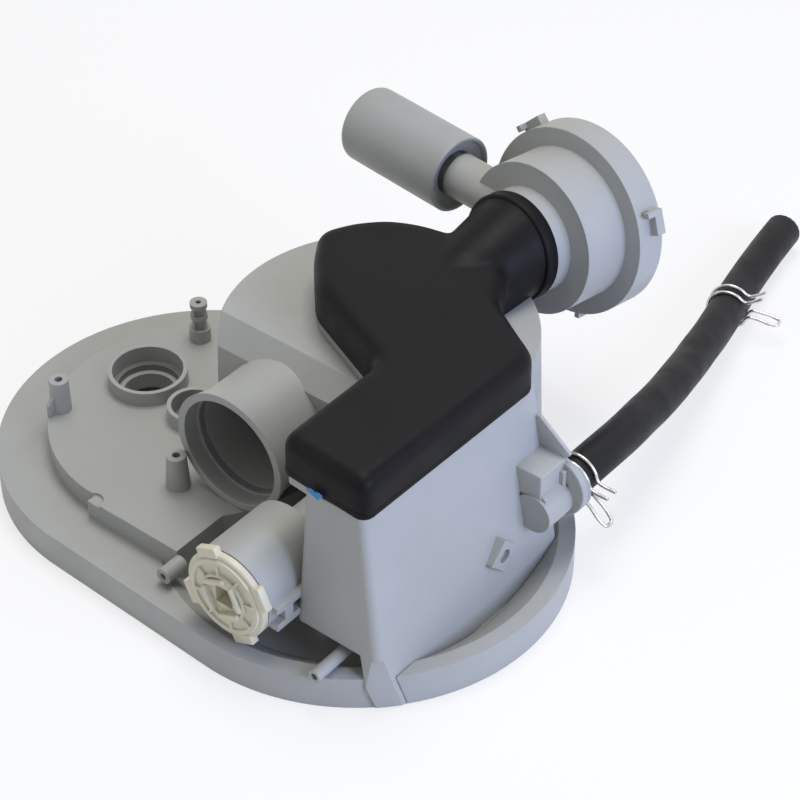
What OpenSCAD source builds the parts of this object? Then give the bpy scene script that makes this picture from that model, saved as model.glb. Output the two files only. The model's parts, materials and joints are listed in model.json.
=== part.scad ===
// Dishwasher sump assembly, shown upside down on its rim, as the spare part is laid out.
// The origin is on the axis of the filter well, on the plane that the rim rests on.
// X runs to the side chamber, Y to the pump volute, Z up.

/* [Base] */
// Radius of the front lobe of the rim
front_lobe_r = 116; // [112:0.5:120]
// Radius of the left lobe of the rim
left_lobe_r = 113; // [109:0.5:118]
// Radius of the back lobe of the rim
back_lobe_r = 94; // [93:0.5:100]
// Height of the rim
rim_h = 20; // [18:0.5:23]
// Wall of the rim
rim_wall = 4; // [3:0.25:5]
// Thickness of the floor plates
plate_t = 3; // [2:0.25:4]
// Depth of the dished floor in the front lobe
dish_depth = 14; // [10:0.5:15]
// Width of the flat rim round the dished floor
rim_land = 9; // [7:0.5:12]
// Height of the left deck over the rim
deck_h = 13; // [10:0.5:16]
// Radius of the left deck
deck_r = 84; // [81:0.5:88]
// Radius of the filter well's bore
well_bore_r = 52; // [45:0.5:58]

/* [Ports and posts] */
// Bore radius of the large port
port_bore_r = 20; // [17:0.25:21]
// Bore radius of the small port
small_port_bore_r = 12.5; // [11:0.25:12.75]
// Height of the port rings over the deck
port_h = 9; // [6:0.5:12]
// Wall of the port rings
port_wall = 2.5; // [2:0.25:3.5]
// Radius of the screw posts
post_r = 5.5; // [4.5:0.25:7]
// Height of the screw posts
post_h = 21; // [16:0.5:26]
// Radius of the screw holes
post_hole_r = 2.25; // [1.5:0.25:2.75]
// Height of the ribbed stud
stud_h = 26; // [22:1:32]

/* [Well housing] */
// Radius of the dome at its foot
dome_foot_r = 89; // [87:0.5:91]
// Radius of the dome at its top
dome_top_r = 85.5; // [83:0.5:87]
// Height of the dome's top
dome_h = 110; // [106:1:113]
// Wall of the housing
wall_t = 3; // [2.5:0.25:4]
// Outer radius of the inlet stub
stub_r = 33; // [32.5:0.25:34]
// Radius of the stub's flared mouth
stub_mouth_r = 36; // [34:0.5:38]
// Radius of the socket in the stub's mouth
stub_socket_r = 31.5; // [31:0.25:32.5]
// Length of the stub in front of the dome
stub_len = 39; // [32:1:44]
// Height of the stub's axis
stub_z = 69; // [67:0.5:72]
// Outer radius of the small nozzle
nozzle_r = 3.5; // [3:0.25:4.5]

/* [Side chamber] */
// Height of the flange that carries the cover
flange_rise = 5; // [3:0.5:9]
// Width of the side chamber at its top
chamber_w = 38; // [32:1:44]
// Length of the side chamber at its top
chamber_l = 138; // [126:1:142]
// How far the big face leans out at its foot
chamber_lean = 21; // [15:0.5:23]

/* [Suction cover] */
// Height of the cover over its flange
cover_h = 24; // [20:0.5:30]
// Width of the cover's flange outside the duct
cover_lip = 6; // [4:0.5:8]
// Wall of the cover
cover_wall = 2.5; // [2:0.25:3.5]
// Outer radius of the elbow
elbow_r = 24; // [22.5:0.5:25]

/* [Pump volute] */
// Outer radius of the bayonet ring
ring_r = 54; // [52:0.5:56]
// Wall of the bayonet ring
ring_wall = 4; // [3:0.25:5]
// Length of the bayonet ring
ring_len = 18; // [15:0.5:22]
// Outer radius of the pump chamber
pump_r = 43.5; // [41:0.5:46]
// Length of the pump chamber
pump_len = 29; // [28.5:0.5:34]
// Outer radius of the suction neck
neck_r = 30; // [28.5:0.5:31.5]
// Length of the suction neck
neck_len = 12; // [10:0.5:15]
// Turn of the pump from the Y axis
pump_yaw = 7; // [5:0.5:9]
// Fall of the pump's axis
pump_dip = 6; // [4:0.5:8]

/* [Outlet] */
// Outer radius of the outlet tube
outlet_r = 13; // [11:0.25:13.5]
// Outer radius of the soft sleeve
sleeve_r = 22.5; // [20:0.25:24]
// Length of the soft sleeve
sleeve_len = 75; // [65:1:80]

/* [Rotary valve] */
// Radius of the valve barrel
barrel_r = 22.5; // [21.5:0.25:23.5]
// Radius of the twist-lock cap
cap_r = 25.5; // [25:0.25:27]
// Length of the valve barrel
barrel_len = 46; // [40:1:52]
// Radius of the rotor's body
rotor_r = 18; // [15:0.5:20]
// Width over the flats of the drive socket
drive_w = 11; // [9:0.5:12]

/* [Drain] */
// Outer diameter of the drain hose
hose_d = 22; // [20:0.5:24]
// Bore radius of the drain hose
hose_bore_r = 8; // [7.5:0.25:8.5]
// Wire diameter of the spring clamps
clamp_wire_d = 2; // [1.6:0.1:2.2]

/* [Hidden] */
flange_z = dome_h + flange_rise;
$fn = 96;
eps = 0.01;
fit = 0.3;
hair = 0.03;

// The colours of the plastics and rubbers
body_grey = [0.66, 0.66, 0.63];
shade_grey = [0.55, 0.56, 0.56];
cream = [0.80, 0.78, 0.68];
black = [0.12, 0.12, 0.13];
soft_grey = [0.50, 0.50, 0.48];
zinc = [0.75, 0.76, 0.78];

// The lobes of the rim
front_lobe = [25, -49];
left_lobe = [-90, -47];
back_lobe = [0, 0];
deck_z = rim_h + deck_h;
deck_side_y = left_lobe[1] - deck_r - 5;
deck_end_x = -25;
front_wall_y = -52;
dish_run = 16;
dome_slope = 52;
floor_z = rim_h - dish_depth;

// The places of the ports, posts and the stud on the deck
large_port = [-133, -43];
// The small port stands off the dome's foot, whatever its radius
small_port_turn = 208.28;
small_port_off = dome_foot_r + small_port_bore_r + 2.97;
small_port = small_port_off * [cos(small_port_turn), sin(small_port_turn)];
port_top = deck_z + port_h;
port_step = 2.5;
port_seal_t = 4;
seal_step = 0.5;
port_seat_z = deck_z - 6;
post_1 = [-154, -91];
post_2 = [-60, -97];
stud_at = [-137, 4.5];
stud_r = 5;

// The stub points to minus Y
stub_x = -27;
stub_mouth_y = front_wall_y - stub_len;
stub_seal_len = 4;
stub_socket_len = 14;
flare_len = 12;

// The side chamber
chamber_x = 56;
chamber_y = -126;
chamber_low_z = 1;
chamber_corner = 4;
chamber_front_lean = 12;
chamber_foot_corner = 5;
// The foot is the part of the chamber in front, right of foot_x, that passes the rim
foot_x = 107;
foot_proud = 1.5;
foot_y = -112;
front_under_z = 34;

// The cover's outline, round points on the flange plane
gasket_t = 2;
gasket_lip = 5;
cover_z = flange_z + gasket_t;
cover_flange_t = 4;
throat_at = [19, 36];
throat_z = cover_z + 6;
elbow_run = 48;
cover_outline = [[40, -125], [96, -129], [98, 8], [86, 10], [73, 22], [56, 38], [40, 58], [4, 61],
  [-16, 57], [-33, 49], [-46, 33], [-56, 19], [-56, 13], [-45, 0], [-25, -22], [40, -50]];

// The pump's axis starts at the front edge of the bayonet ring
pump_at = [29, 126, 122];
outlet_y = 7;
outlet_z = -20;
outlet_start = 63;
outlet_len = 28;
outlet_wall = 2.5;
sleeve_bore_r = 17.5;
neck_wall = 3;
neck_z = -pump_len - neck_len;
spigot_len = neck_len - 2;
motor_seal_t = 3;

// A small hose lug beside the valve
lug_at = [-22, deck_side_y, rim_h + 7];
lug_r = 4.5;
lug_len = 14;

// The small nozzle under the side chamber's front
nozzle_at = [84, -154, 25];
nozzle_len = 44;

// The rotary valve points to minus Y
valve_at = [29, -157, 49.5];
cap_len = 9;
barrel_wall = 3;
barrel_y = valve_at[1] + 4 + fit;
turn_play = 0.08;
cap_seal_r = barrel_r - 2.5;
rotor_shaft_r = 9;
rotor_len = barrel_len - 14;
tab_w = 14;
// The bayonet tabs are spaced unevenly, so that the motor fits one way
tab_angles = [45, 158, 262];

// The drain elbow and its hose
drain_at = [113, 14, 52];
drain_flange_r = 15;
drain_boss_r = 11.5;
drain_boss_len = 28;
drain_barb_len = 22;
drain_flange_t = 4;
hose_r = hose_d / 2;
flap_at = drain_at + [0, -14, 7.4];
flap_r = 6.3;
flap_t = 1.6;
pin_r = 0.8;
pin_len = 14;
pin_play = 0.05;
face_lug = [102, -36, 38];
hose_route = [[113, 18, 52], [113, 40, 52], [110, 76.5, 47.3], [107, 95, 43.9], [104, 113, 40],
  [100, 131.5, 35.9], [95.5, 149.5, 31.8], [91, 167.5, 27.9], [86, 186, 24.3], [81.5, 204, 21.1],
  [76.5, 222, 18.4], [71.5, 240.5, 16.2], [66.5, 258.5, 14.4], [62, 277, 13], [58, 295.5, 12],
  [54.5, 314, 11.4], [51.5, 333, 11.2]];
near_clamp_y = 23.5;
far_clamp_at = hose_route[len(hose_route) - 6];
far_clamp_turn = 15.3;
// The far clamp lies turned, so that its long bend clears the floor
far_clamp_roll = 34;
clamp_pitch = 7;
clamp_gap = 0.3;
clamp_ear = 12;
clamp_tail = 19;
clamp_turn = 320;
clamp_loop_r = hose_r + clamp_wire_d / 2 + clamp_gap;

// Points where the two outer tangents of two circles touch them
function tangent_points(a, ra, b, rb) =
  let(d = norm(b - a), th = atan2(b[1] - a[1], b[0] - a[0]), phi = acos((ra - rb) / d))
  [a + ra * [cos(th + phi), sin(th + phi)], b + rb * [cos(th + phi), sin(th + phi)],
   b + rb * [cos(th - phi), sin(th - phi)], a + ra * [cos(th - phi), sin(th - phi)]];

// Outline of the rim, drawn in by a margin
module rim_outline(inset = 0) {
  rf = front_lobe_r - inset;
  rl = left_lobe_r - inset;
  rb = back_lobe_r - inset;
  translate(front_lobe) circle(r = rf);
  translate(left_lobe) circle(r = rl);
  translate(back_lobe) circle(r = rb);
  // The flanks meet the lobes a hair inside them, which keeps their corners clean
  polygon(tangent_points(front_lobe, rf - hair, left_lobe, rl - hair));
  polygon(tangent_points(left_lobe, rl - hair, back_lobe, rb - hair));
  polygon(tangent_points(back_lobe, rb - hair, front_lobe, rf - hair));
}

// Outline of the raised deck
module deck_outline(inset = 0) {
  translate(left_lobe) circle(r = deck_r - inset);
  polygon([[left_lobe[0], deck_side_y + inset], [deck_end_x - inset, deck_side_y + inset],
    [deck_end_x - inset, front_wall_y - fit], [left_lobe[0], left_lobe[1]]]);
}

// Plan of the dome's foot, with the gap in front of its flat wall
module dome_plan() {
  intersection() {
    circle(r = dome_foot_r);
    translate([-dome_foot_r, front_wall_y - fit]) square([2 * dome_foot_r, 2 * dome_foot_r]);
  }
}

// A dome with its draft, cut by its flat front wall
module dome_solid(inset, z_low, z_high) {
  difference() {
    translate([0, 0, z_low])
      cylinder(h = z_high - z_low, r1 = dome_foot_r - inset, r2 = dome_top_r - inset);
    translate([-dome_foot_r, front_wall_y + inset - dome_foot_r, 0])
      cube([dome_foot_r * 2, dome_foot_r, z_high + 1]);
    // The top edge slopes down to the flat front wall
    translate([0, front_wall_y + inset * sin(dome_slope), dome_h - 14 - inset * cos(dome_slope)])
      rotate([dome_slope, 0, 0]) translate([-dome_foot_r, 0, 0])
        cube([dome_foot_r + chamber_x - 14, 40, 40]);
  }
}

// Outline with one corner radius, its sides at the given places
module rounded_outline(x0, x1, y0, y1, r, r_front) {
  hull() {
    translate([x0 + r, y0 + r]) circle(r = r, $fn = 32);
    translate([x1 - r_front, y0 + r_front]) circle(r = r_front, $fn = 48);
    translate([x1 - r, y1 - r]) circle(r = r, $fn = 32);
    translate([x0, y1 - r]) square([r, r]);
  }
}

// The side chamber's walls lean out to the foot
module chamber_solid(inset, z_low, z_high) {
  lean = chamber_lean * (flange_z - z_low) / (flange_z - floor_z);
  front_lean = chamber_front_lean * (flange_z - z_low) / (flange_z - floor_z);
  x1 = chamber_x + chamber_w;
  y1 = chamber_y + chamber_l;
  hull() {
    translate([0, 0, z_high - eps]) linear_extrude(eps)
      rounded_outline(chamber_x + inset, x1 - inset, chamber_y + inset, y1 - inset,
        chamber_corner, chamber_corner);
    translate([0, 0, z_low]) linear_extrude(eps)
      rounded_outline(chamber_x + inset, x1 + lean - inset, chamber_y - front_lean + inset,
        y1 - inset, chamber_corner, chamber_foot_corner);
  }
}

// The foot's room: a web that tapers down through the rim and stands a little proud of it
module foot_room(grow, back) {
  intersection() {
    translate([0, foot_y + back, 0]) rotate([90, 0, 0]) linear_extrude(80)
      polygon([[foot_x - 9 - grow, 60], [foot_x - 9 - grow, front_under_z], [foot_x - grow, -1], [200, -1],
        [200, 60]]);
    translate([front_lobe[0], front_lobe[1], -2])
      cylinder(h = 70, r = front_lobe_r + foot_proud + grow);
  }
}

// The side chamber stands on the dished floor, raised in front, with one foot through the rim
module chamber_body() {
  difference() {
    chamber_solid(0, chamber_low_z, flange_z);
    translate([0, foot_y, 0]) cube([200, 200, floor_z]);
    difference() {
      translate([0, foot_y - 100, -1]) cube([200, 100 + eps, front_under_z + 1]);
      foot_room(0, 5);
    }
  }
}

module chamber_hollow() {
  difference() {
    chamber_solid(wall_t, floor_z + wall_t, flange_z + 1);
    translate([0, foot_y - 100, 0]) cube([200, 100 + wall_t, front_under_z + wall_t]);
  }
}

// Moves a shape into the pump's own axes: x to the outlet, z away along the shaft
module in_pump() {
  translate(pump_at)
    rotate([0, 0, -pump_yaw]) rotate([-pump_dip, 0, 0]) rotate([90, 0, 180]) children();
}

// Moves a shape so that its z axis points to minus Y at a place
module facing_front(at) {
  translate(at) rotate([90, 0, 0]) children();
}

module ring(r_out, r_in, h) {
  difference() {
    cylinder(h = h, r = r_out);
    translate([0, 0, -1]) cylinder(h = h + 2, r = r_in);
  }
}

module port_ring(at, bore_r) {
  translate([at[0], at[1], port_seat_z - plate_t])
    cylinder(h = port_top - port_seat_z + plate_t, r = bore_r + port_wall);
}

module port_bore(at, bore_r) {
  translate([at[0], at[1], port_seat_z + port_seal_t]) cylinder(h = port_top - port_seat_z, r = bore_r);
  translate([at[0], at[1], port_seat_z]) cylinder(h = port_seal_t + 1, r = bore_r - seal_step);
  translate([at[0], at[1], -1]) cylinder(h = port_top + 2, r = bore_r - port_step - 3);
}

module screw_post(at, foot_r) {
  translate([at[0], at[1], deck_z - plate_t])
    cylinder(h = post_h + plate_t, r1 = foot_r, r2 = post_r);
}

// The room of the dished floor, or that room grown down and out by a wall
module dish(grow) {
  slope = dish_run / dish_depth;
  foot_r = front_lobe_r - rim_land - dish_run + grow;
  translate([front_lobe[0], front_lobe[1], floor_z - grow])
    cylinder(h = dish_depth + grow + 1, r1 = foot_r, r2 = foot_r + slope * (dish_depth + grow + 1));
}

module sump_base() {
  color(body_grey) difference() {
    union() {
      linear_extrude(rim_h) rim_outline();
      linear_extrude(deck_z) difference() {
        deck_outline();
        dome_plan();
      }
      port_ring(large_port, port_bore_r);
      port_ring(small_port, small_port_bore_r);
      screw_post(post_1, post_r + 0.5);
      screw_post(post_2, post_r + 1.5);
      facing_front(lug_at) cylinder(h = lug_len, r = lug_r);
    }
    // Hollow under the rim plate, as deep as the dished floor lets it be
    difference() {
      translate([0, 0, -1]) linear_extrude(rim_h - plate_t + 1) difference() {
        rim_outline(rim_wall);
        circle(r = well_bore_r + rim_wall);
      }
      dish(plate_t);
    }
    // Hollow under the deck
    translate([0, 0, rim_h - plate_t - 1]) linear_extrude(deck_h + 1) difference() {
      deck_outline(plate_t);
      circle(r = dome_foot_r + plate_t);
      translate(front_lobe) circle(r = front_lobe_r - 1);
      translate(large_port) circle(r = port_bore_r + port_wall);
      translate(small_port) circle(r = small_port_bore_r + port_wall);
    }
    // The dished floor of the front lobe
    difference() {
      dish(0);
      linear_extrude(deck_z) {
        deck_outline();
        circle(r = dome_foot_r);
      }
    }
    // The filter well, open to the tub
    translate([0, 0, -1]) cylinder(h = rim_h + 2, r = well_bore_r);
    port_bore(large_port, port_bore_r);
    port_bore(small_port, small_port_bore_r);
    for (p = [post_1, post_2])
      translate([p[0], p[1], deck_z]) cylinder(h = post_h + 1, r = post_hole_r);
    translate([stud_at[0], stud_at[1], deck_z - plate_t - 1])
      cylinder(h = plate_t + 2, r = stud_r - 1.5);
    facing_front(lug_at) translate([0, 0, 2]) cylinder(h = lug_len, r = lug_r - 2.5);
    // A half-round notch in the deck's edge
    translate([left_lobe[0] + 3, deck_side_y + 1, deck_z - 1.5]) cylinder(h = 3, r = 6);
    // The slot for the side chamber's foot
    intersection() {
      chamber_solid(-fit, chamber_low_z, flange_z);
      union() {
        foot_room(fit, fit);
        translate([0, foot_y, floor_z]) cube([200, 200, deck_z]);
      }
    }
  }
}

module stub_shell() {
  facing_front([stub_x, stub_mouth_y, stub_z]) translate([0, 0, -flare_len])
    cylinder(h = flare_len, r1 = stub_r, r2 = stub_mouth_r);
  facing_front([stub_x, front_wall_y + 6, stub_z]) cylinder(h = stub_len, r = stub_r);
}

// The way of the elbow and the pump's neck over the dome, grown by a margin
module elbow_room(grow) {
  in_pump() translate([0, 0, neck_z - elbow_run - grow])
    cylinder(h = elbow_run + spigot_len + grow, r = elbow_r + grow);
  in_pump() translate([0, 0, neck_z - grow]) cylinder(h = neck_len, r = neck_r + grow);
}

module well_housing() {
  color(body_grey) difference() {
    union() {
      housing_shell();
      // A saddle in the dome's edge under the elbow
      intersection() {
        dome_solid(0, rim_h, dome_h);
        elbow_room(fit + wall_t);
      }
    }
    elbow_room(fit);
  }
}

module housing_shell() {
  difference() {
    union() {
      dome_solid(0, rim_h, dome_h);
      translate([0, 0, dome_h - eps]) linear_extrude(flange_z - dome_h + eps) cover_pad(2);
      chamber_body();
      stub_shell();
      facing_front([valve_at[0], barrel_y + barrel_len, valve_at[2]])
        cylinder(h = barrel_len, r = barrel_r + barrel_wall);
      // Arm with two ribs from the barrel to the chamber
      for (z = [-12, -1])
        translate([valve_at[0] + barrel_r - 2, barrel_y + 2, valve_at[2] + z])
          cube([chamber_x - valve_at[0] - barrel_r + 4, 22, 4]);
      translate([valve_at[0] + barrel_r - 2, barrel_y + 8, valve_at[2] - 12])
        cube([chamber_x - valve_at[0] - barrel_r + 4, 6, 15]);
      // Duct from the barrel back to the well
      facing_front([valve_at[0], barrel_y + barrel_len - 1, valve_at[2]]) translate([0, 0, -70])
        cylinder(h = 70, r = 14);
      facing_front(nozzle_at) translate([0, 0, -nozzle_len]) cylinder(h = nozzle_len, r = nozzle_r);
      drain_boss();
      // A diamond lug with a hole low on the big face
      translate(face_lug) rotate([0, 90, 0]) cylinder(h = 11, r = 11, $fn = 4);
    }
    dome_solid(wall_t, rim_h - 1, dome_h - wall_t);
    chamber_hollow();
    translate([0, 0, dome_h - wall_t - 1]) linear_extrude(flange_z) cover_pad(cover_lip + 6);
    facing_front([stub_x, stub_mouth_y, stub_z]) translate([0, 0, stub_seal_len - stub_socket_len])
      cylinder(h = stub_socket_len, r = stub_socket_r);
    facing_front([stub_x, stub_mouth_y, stub_z]) translate([0, 0, -stub_socket_len])
      cylinder(h = stub_seal_len + 1, r = stub_socket_r - seal_step);
    facing_front([stub_x, stub_mouth_y, stub_z]) translate([0, 0, -stub_len - 20])
      cylinder(h = stub_len + 20, r = stub_r - wall_t);
    facing_front([valve_at[0], barrel_y + barrel_len - barrel_wall, valve_at[2]])
      cylinder(h = barrel_len, r = barrel_r);
    facing_front([valve_at[0], barrel_y + barrel_len, valve_at[2]]) translate([0, 0, -66])
      cylinder(h = 70, r = 11);
    facing_front(nozzle_at) translate([0, 0, -nozzle_len - 2])
      cylinder(h = nozzle_len + 3, r = nozzle_r - 1.5);
    drain_boss_bores();
    translate(face_lug + [8, 0, 0]) rotate([0, 90, 0]) cylinder(h = 4, r = 4);
  }
}

// The boss of the drain: a flange, a barrel and an angular block over it
module drain_boss() {
  facing_front(drain_at) cylinder(h = drain_flange_t, r = drain_flange_r);
  facing_front(drain_at) cylinder(h = drain_boss_len, r = drain_boss_r);
  difference() {
    translate(drain_at + [-15, -26, 4]) cube([22, 18, 16]);
    translate(drain_at + [1, -27, 22]) rotate([-90, 0, 0])
      linear_extrude(16) polygon([[-8, 0], [7, 0], [7, 12]]);
  }
}

// The bore of the drain, its way to the chamber, and the room of the flap's hinge
module drain_boss_bores() {
  facing_front(drain_at) translate([0, 0, -1]) cylinder(h = drain_boss_len - 2, r = hose_bore_r);
  translate(drain_at + [0, 8 - drain_boss_len, 0]) rotate([0, -90, 0]) cylinder(h = 14, r = 4);
  translate(flap_at + [-pin_len / 2, 0, 0]) rotate([0, 90, 0]) cylinder(h = pin_len, r = pin_r);
  hinge_room();
}

module hinge_room() {
  translate(flap_at + [-3, -2.2, -3]) cube([6, 4.4, 5.2]);
}

// The cover's outline, drawn in by a margin, without the part over the open side
module cover_pad(inset) {
  offset(r = 4) offset(r = -inset - 8) offset(r = 4) polygon(cover_outline);
}

module tub_gasket() {
  color(soft_grey) ring(well_bore_r + rim_wall + gasket_lip, well_bore_r + rim_wall, floor_z - plate_t);
}

module port_seal(at, bore_r) {
  color(soft_grey) translate([at[0], at[1], port_seat_z])
    ring(bore_r - seal_step, bore_r - port_step, port_seal_t);
}

module large_port_seal() {
  port_seal(large_port, port_bore_r);
}

module small_port_seal() {
  port_seal(small_port, small_port_bore_r);
}

module inlet_stub_seal() {
  color(soft_grey) facing_front([stub_x, stub_mouth_y, stub_z])
    translate([0, 0, -stub_socket_len]) ring(stub_socket_r - seal_step, stub_r - wall_t, stub_seal_len);
}

module ribbed_stud() {
  color(body_grey) translate([stud_at[0], stud_at[1], deck_z]) {
    difference() {
      union() {
        translate([0, 0, -plate_t]) cylinder(h = plate_t, r = stud_r - 1.5);
        cylinder(h = stud_h / 3, r = stud_r + 1.2);
        for (a = [0, 90])
          rotate([0, 0, a]) translate([-stud_r, -0.9, 0]) cube([2 * stud_r, 1.8, stud_h - 2]);
        cylinder(h = stud_h - 2, r = stud_r - 2);
        for (z = [stud_h - 11, stud_h - 3])
          translate([0, 0, z]) cylinder(h = 3, r = stud_r);
      }
      translate([0, 0, stud_h - 12]) cylinder(h = 13, r = 1.6);
    }
  }
}

module cover_gasket() {
  color(black) difference() {
    translate([0, 0, flange_z]) linear_extrude(gasket_t) difference() {
      cover_pad(2);
      cover_pad(cover_lip);
    }
    elbow_room(fit);
  }
}

module elbow_path_solid(r, back) {
  in_pump() translate([0, 0, neck_z - 4]) {
    intersection() {
      sphere(r = r);
      translate([-2 * r, -2 * r, -2 * r]) cube([4 * r, 4 * r, 2 * r + 1]);
    }
    cylinder(h = 4 + back, r = r);
  }
}

// Throat from the duct to the elbow
module throat_solid(r) {
  hull() {
    translate([throat_at[0], throat_at[1], throat_z + elbow_r - r])
      cylinder(h = cover_z + cover_h - 2 - throat_z - 2 * (elbow_r - r), r = r, $fn = 32);
    in_pump() translate([0, 0, neck_z - 4]) sphere(r = r - 1, $fn = 32);
  }
}

module suction_cover() {
  color(black) difference() {
    union() {
      translate([0, 0, cover_z]) linear_extrude(cover_flange_t) cover_pad(0);
      translate([0, 0, cover_z]) linear_extrude(cover_h - 6) cover_pad(cover_lip);
      translate([0, 0, cover_z + cover_h - 6 - eps]) linear_extrude(4) cover_pad(cover_lip + 1.5);
      translate([0, 0, cover_z + cover_h - 2 - 2 * eps]) linear_extrude(2) cover_pad(cover_lip + 5);
      elbow_path_solid(elbow_r, spigot_len);
      throat_solid(elbow_r);
    }
    translate([0, 0, cover_z - 1]) linear_extrude(cover_h - 6) cover_pad(cover_lip + cover_wall);
    elbow_path_solid(elbow_r - cover_wall, spigot_len + 1);
    throat_solid(elbow_r - 3);
    translate([throat_at[0], throat_at[1], cover_z - 1]) cylinder(h = throat_z - cover_z + 8, r = elbow_r - 3);
    // The spigot ends square inside the volute's neck
    in_pump() translate([0, 0, neck_z + spigot_len]) cylinder(h = 30, r = elbow_r + 1);
  }
}

module elbow_seal() {
  color(soft_grey) in_pump() translate([0, 0, neck_z + 1])
    ring(neck_r - neck_wall, elbow_r, spigot_len - 2);
}

module pump_volute() {
  color(body_grey) in_pump() difference() {
    union() {
      cylinder(h = ring_len, r = ring_r);
      translate([0, 0, -pump_len]) cylinder(h = pump_len, r = pump_r);
      translate([0, 0, neck_z]) cylinder(h = neck_len, r = neck_r);
      translate([0, outlet_y, outlet_z]) rotate([0, 90, 0])
        cylinder(h = outlet_start + outlet_len, r = outlet_r);
      for (a = tab_angles) rotate([0, 0, a]) {
        translate([ring_r - 2, -tab_w / 2, ring_len - 9]) cube([7, tab_w, 6]);
        translate([ring_r + 1.5, -tab_w / 2, ring_len - 14]) cube([3.5, 3, 11]);
      }
    }
    translate([0, 0, 3 + motor_seal_t]) cylinder(h = ring_len, r = ring_r - ring_wall);
    translate([0, 0, 3]) cylinder(h = motor_seal_t + 1, r = ring_r - ring_wall - seal_step);
    translate([0, 0, -pump_len + 3]) cylinder(h = pump_len + 4, r = pump_r - 3);
    translate([0, 0, neck_z - 1]) cylinder(h = neck_len + 6, r = neck_r - neck_wall);
    translate([0, outlet_y, outlet_z]) rotate([0, 90, 0]) translate([0, 0, 20])
      cylinder(h = outlet_start + outlet_len, r = outlet_r - outlet_wall);
  }
}

module wear_ring() {
  color(shade_grey) in_pump() translate([0, 0, neck_z + spigot_len])
    ring(neck_r - neck_wall, 20, 5.5);
}

module motor_seal() {
  color(soft_grey) in_pump() translate([0, 0, 3])
    ring(ring_r - ring_wall - seal_step, ring_r - ring_wall - 3, motor_seal_t);
}

module outlet_sleeve() {
  color(soft_grey) in_pump() translate([outlet_start, outlet_y, outlet_z]) rotate([0, 90, 0])
    difference() {
      cylinder(h = sleeve_len, r = sleeve_r);
      translate([0, 0, -1]) cylinder(h = sleeve_len + 2, r = outlet_r);
      translate([0, 0, outlet_len]) cylinder(h = sleeve_len, r = sleeve_bore_r);
    }
}

module valve_cap() {
  color(cream) facing_front(valve_at) difference() {
    union() {
      translate([0, 0, -4]) cylinder(h = 4, r = cap_r);
      translate([0, 0, -cap_len + 2]) cylinder(h = cap_len - 4, r = barrel_r - turn_play);
      translate([0, 0, -cap_len]) cylinder(h = 4, r = cap_seal_r);
      for (a = [25, 115, 205, 295])
        rotate([0, 0, a]) translate([cap_r - 2, -7, -4]) cube([5, 14, 5]);
      // Raised rings and ribs of the cap's face
      ring(cap_r - 3, cap_r - 5, 1.6);
      ring(13, 11, 2.5);
      for (a = [0 : 45 : 315])
        rotate([0, 0, a]) translate([12, -0.8, -eps]) cube([10, 1.6, 1.6]);
    }
    translate([0, 0, -cap_len - 1]) cylinder(h = cap_len + 4, r = rotor_shaft_r + turn_play);
    translate([0, 0, -cap_len - 1]) cylinder(h = 3.4, r = rotor_shaft_r + 3.5);
  }
}

module valve_cap_seal() {
  color(black) facing_front(valve_at) translate([0, 0, -cap_len])
    ring(barrel_r - turn_play, cap_seal_r, 2);
}

module valve_rotor() {
  color(cream) facing_front(valve_at) difference() {
    union() {
      translate([0, 0, -cap_len - 4 - rotor_len]) cylinder(h = rotor_len, r = rotor_r);
      translate([0, 0, -cap_len - 5]) cylinder(h = cap_len + 6, r = rotor_shaft_r);
    }
    // Square drive socket
    translate([-drive_w / 2, -drive_w / 2, -8]) cube([drive_w, drive_w, 12]);
    // Cross port through the rotor
    translate([0, 0, -cap_len - 4 - rotor_len / 2]) rotate([0, 90, 0])
      translate([0, 0, -rotor_r - 1]) cylinder(h = 2 * rotor_r + 2, r = 8);
    translate([0, 0, -cap_len - 5 - rotor_len]) cylinder(h = rotor_len / 2, r = 10);
  }
}

module rotor_seal() {
  color(black) facing_front(valve_at) translate([0, 0, -cap_len])
    ring(rotor_shaft_r + 3.5, rotor_shaft_r + turn_play, 2.4);
}

module drain_spigot() {
  color(shade_grey) facing_front(drain_at) difference() {
    union() {
      translate([0, 0, -drain_flange_t]) cylinder(h = drain_flange_t, r = drain_flange_r);
      translate([0, 0, -drain_flange_t - drain_barb_len])
        cylinder(h = drain_barb_len, r = hose_bore_r);
    }
    translate([0, 0, -drain_flange_t - drain_barb_len - 1])
      cylinder(h = drain_barb_len + drain_flange_t + 2, r = hose_bore_r - 2);
  }
}

module flap_seat() {
  color(black) difference() {
    facing_front([drain_at[0], flap_at[1] - flap_t / 2 - pin_play, drain_at[2]])
      ring(hose_bore_r, 5, 2.5);
    hinge_room();
  }
}

module non_return_flap() {
  color(black) difference() {
    union() {
      facing_front([drain_at[0], flap_at[1] + flap_t / 2, drain_at[2]])
        cylinder(h = flap_t, r = flap_r);
      translate(flap_at) rotate([0, 90, 0]) translate([0, 0, -2.25]) cylinder(h = 4.5, r = 2 * pin_r);
    }
    translate(flap_at) rotate([0, 90, 0]) translate([0, 0, -4]) cylinder(h = 8, r = pin_r + pin_play);
  }
}

module flap_pin() {
  color(zinc) translate(flap_at + [-pin_len / 2, 0, 0]) rotate([0, 90, 0])
    cylinder(h = pin_len, r = pin_r);
}

function unit(v) = v / norm(v);

function along(route, i) =
  unit(route[min(i + 1, len(route) - 1)] - route[max(i - 1, 0)]);

function square_to(v, t) = unit(v - (v * t) * t);

// Side vectors carried along a route without twist
function carried(route, i, side) =
  i == len(route) ? [] : let(v = square_to(side, along(route, i))) concat([v], carried(route, i + 1, v));

// Rings of a tube swept along a route, each square to the run of the route
function sweep_rings(route, r, sides) =
  let(sv = carried(route, 0, [0, 0, 1]))
  [for (i = [0 : len(route) - 1], k = [0 : sides - 1])
    let(a = 360 * k / sides) route[i] + r * (cos(a) * sv[i] + sin(a) * cross(sv[i], along(route, i)))];

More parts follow.
